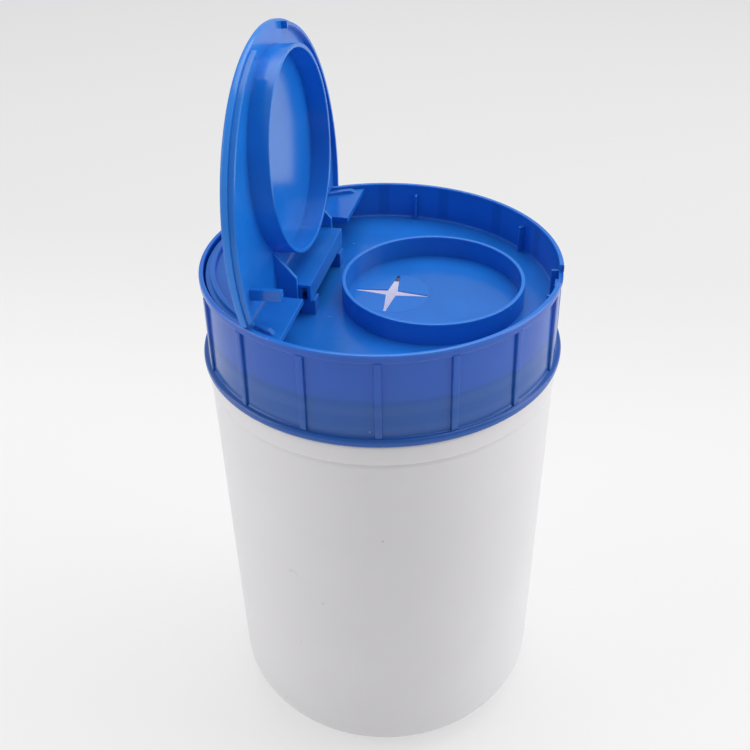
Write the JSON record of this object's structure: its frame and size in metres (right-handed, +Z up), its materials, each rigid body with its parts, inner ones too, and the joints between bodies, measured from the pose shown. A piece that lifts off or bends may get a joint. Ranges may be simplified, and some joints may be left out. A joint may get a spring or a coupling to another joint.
{
  "type": "wipes canister",
  "caption": "Round upright canister for a roll of wipes: white blow-moulded bottle, blue screw cap with a star slit in a recessed deck, and a hinged dust flap.",
  "frame": {"origin": "centre of the canister's base, on the surface it stands on", "axes": "+Z up along the canister's axis, +X towards the front of the lid (latch notch), the flap's hinge axis along Y"},
  "size_m": [0.1308, 0.1308, 0.2761],
  "materials": {
    "white_plastic": "satin white polyethylene",
    "wipes": "damp nonwoven cloth",
    "seal": "soft foamed sealing ring",
    "blue_plastic": "glossy, slightly translucent blue polypropylene",
    "blue_flap_plastic": "glossy, slightly translucent blue polypropylene"
  },
  "bodies": {
    "canister": {"canister_body": "white_plastic", "wipes_roll": "wipes"},
    "gasket": {"lid_gasket": "seal"},
    "lid": {"lid_cap": "blue_plastic", "hinge_panel": "blue_plastic"},
    "flap": {"flap": "blue_flap_plastic"}
  },
  "joints": [
    {"name": "lid_lift", "type": "slide", "parent": "canister", "child": "gasket", "axis": [0, 0, 1], "range_m": [0, 0.012]},
    {"name": "lid_turn", "type": "hinge", "parent": "gasket", "child": "lid", "pos_m": [0, 0, 0.17], "axis": [0, 0, 1], "range_deg": [0, 540]},
    {"name": "flap_hinge", "type": "hinge", "parent": "lid", "child": "flap", "pos_m": [-0.0265, 0, 0.1886], "axis": [0, 1, 0], "range_deg": [0, 94]}
  ],
  "couplings": [
    {"joint": "lid_lift", "follows": "lid_turn", "m_per_rad": 0.0012732}
  ]
}
